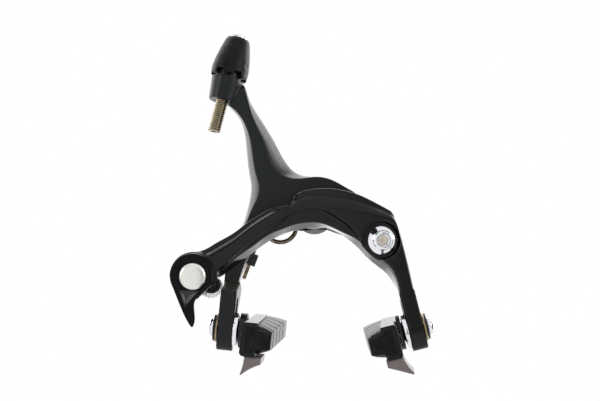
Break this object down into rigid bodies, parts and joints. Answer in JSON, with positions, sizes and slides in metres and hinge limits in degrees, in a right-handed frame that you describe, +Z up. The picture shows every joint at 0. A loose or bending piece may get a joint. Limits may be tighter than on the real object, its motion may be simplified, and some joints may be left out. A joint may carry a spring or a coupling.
{
  "type": "dual pivot rim brake caliper",
  "caption": "Road bicycle dual pivot rim brake caliper: arched front arm, rear arm with barrel adjuster, quick-release lever, toed pads in holders, arms sprung open.",
  "frame": {"origin": "axis of the mounting bolt at the rear mounting face (the back of the serrated washer)", "axes": "+X right seen from the front of the bicycle's brake (the side away from the fork), +Y backward into the fork along the mounting bolt, +Z up the fork's crown"},
  "size_m": [0.1038, 0.0848, 0.1376],
  "materials": {
    "alloy_black_gloss": "gloss",
    "alloy_black_satin": "satin",
    "lever_black": "gloss",
    "alloy_silver": "satin",
    "steel_bright": "polished",
    "steel_dark": "satin",
    "zinc_yellow": "zinc plated",
    "bush_bronze": "matte",
    "spring_steel": "oiled",
    "slider_plastic": "matte",
    "knob_black": "satin",
    "holder_black": "satin",
    "pad_rubber": "matte",
    "guide_grey": "satin"
  },
  "bodies": {
    "bracket": {"bracket": "alloy_silver", "mounting_bolt": "steel_bright", "centre_nut": "steel_bright", "serrated_washer": "steel_bright", "rear_thrust_washer": "steel_dark", "front_thrust_washer": "steel_dark", "offset_pivot_bolt": "steel_bright", "rear_pivot_washer": "steel_bright", "front_pivot_washer": "steel_bright", "return_spring": "spring_steel"},
    "c_arm": {"c_arm": "alloy_black_gloss", "offset_bush": "bush_bronze", "link_pin": "steel_bright"},
    "y_arm": {"y_arm": "alloy_black_satin", "centre_bush": "bush_bronze", "centering_screw": "steel_dark", "spring_slider": "slider_plastic"},
    "qr_lever": {"qr_lever": "lever_black", "qr_camshaft": "steel_bright", "qr_cap": "alloy_silver"},
    "cable_anchor": {"anchor_block": "alloy_black_satin", "cable_clamp_plate": "steel_bright", "cable_clamp_bolt": "steel_dark"},
    "adjuster_knob": {"adjuster_knob": "knob_black", "adjuster_nut": "zinc_yellow"},
    "adjuster_bolt": {"adjuster_bolt": "zinc_yellow"},
    "left_clamp": {"left_pad_bolt": "steel_bright", "left_outer_washer": "steel_dark", "left_seat_washer": "zinc_yellow", "left_domed_washer": "steel_bright", "left_dished_washer": "steel_dark"},
    "right_clamp": {"right_pad_bolt": "steel_bright", "right_outer_washer": "steel_dark", "right_seat_washer": "zinc_yellow", "right_domed_washer": "steel_bright", "right_dished_washer": "steel_dark"},
    "left_shoe": {"left_shoe_holder": "holder_black", "left_brake_pad": "pad_rubber", "left_wheel_guide": "guide_grey", "left_pad_screw": "steel_dark"},
    "right_shoe": {"right_shoe_holder": "holder_black", "right_brake_pad": "pad_rubber", "right_wheel_guide": "guide_grey", "right_pad_screw": "steel_dark"}
  },
  "joints": [
    {"name": "c_arm_turn", "type": "hinge", "parent": "bracket", "child": "c_arm", "pos_m": [0.0262, 0, -0.0108], "axis": [0, 1, 0], "range_deg": [0, 14.5], "stiffness_Nm_per_rad": 0.6, "springref_deg": -45.84, "deforming": ["return_spring"]},
    {"name": "y_arm_turn", "type": "hinge", "parent": "bracket", "child": "y_arm", "pos_m": [0, 0, 0], "axis": [0, 1, 0], "range_deg": [-10.9, 0]},
    {"name": "qr_lever_turn", "type": "hinge", "parent": "c_arm", "child": "qr_lever", "pos_m": [-0.0488, 0, -0.0211], "axis": [0, 1, 0], "range_deg": [0, 95]},
    {"name": "anchor_turn", "type": "hinge", "parent": "qr_lever", "child": "cable_anchor", "pos_m": [-0.0508, 0, -0.02242], "axis": [0, 1, 0], "range_deg": [-95.1, 0]},
    {"name": "adjuster_knob_turn", "type": "hinge", "parent": "y_arm", "child": "adjuster_knob", "pos_m": [-0.0322, -0.0158, 0.0565], "axis": [0.2822, 0.2164, 0.9346], "range_deg": [-1080, 720]},
    {"name": "adjuster_bolt_slide", "type": "slide", "parent": "y_arm", "child": "adjuster_bolt", "axis": [0.2822, 0.2164, 0.9346], "range_m": [-0.00161, 0.00241]},
    {"name": "left_reach_slide", "type": "slide", "parent": "y_arm", "child": "left_clamp", "axis": [0.1495, 0, 0.9888], "range_m": [-0.001, 0.0095]},
    {"name": "right_reach_slide", "type": "slide", "parent": "c_arm", "child": "right_clamp", "axis": [-0.1994, 0, 0.9799], "range_m": [-0.001, 0.0095]},
    {"name": "left_shoe_swivel", "type": "hinge", "parent": "left_clamp", "child": "left_shoe", "pos_m": [-0.03714, -0.0263, -0.04291], "axis": [0.9875, -0.0506, -0.1493], "range_deg": [-8, 8]},
    {"name": "right_shoe_swivel", "type": "hinge", "parent": "right_clamp", "child": "right_shoe", "pos_m": [0.03758, -0.0263, -0.04652], "axis": [-0.9785, 0.0541, -0.1991], "range_deg": [-8, 8]}
  ],
  "couplings": [
    {"joint": "y_arm_turn", "follows": "c_arm_turn", "ratio": -0.748},
    {"joint": "anchor_turn", "follows": "qr_lever_turn", "ratio": -1},
    {"joint": "adjuster_bolt_slide", "follows": "adjuster_knob_turn", "m_per_rad": -0.00012732}
  ]
}
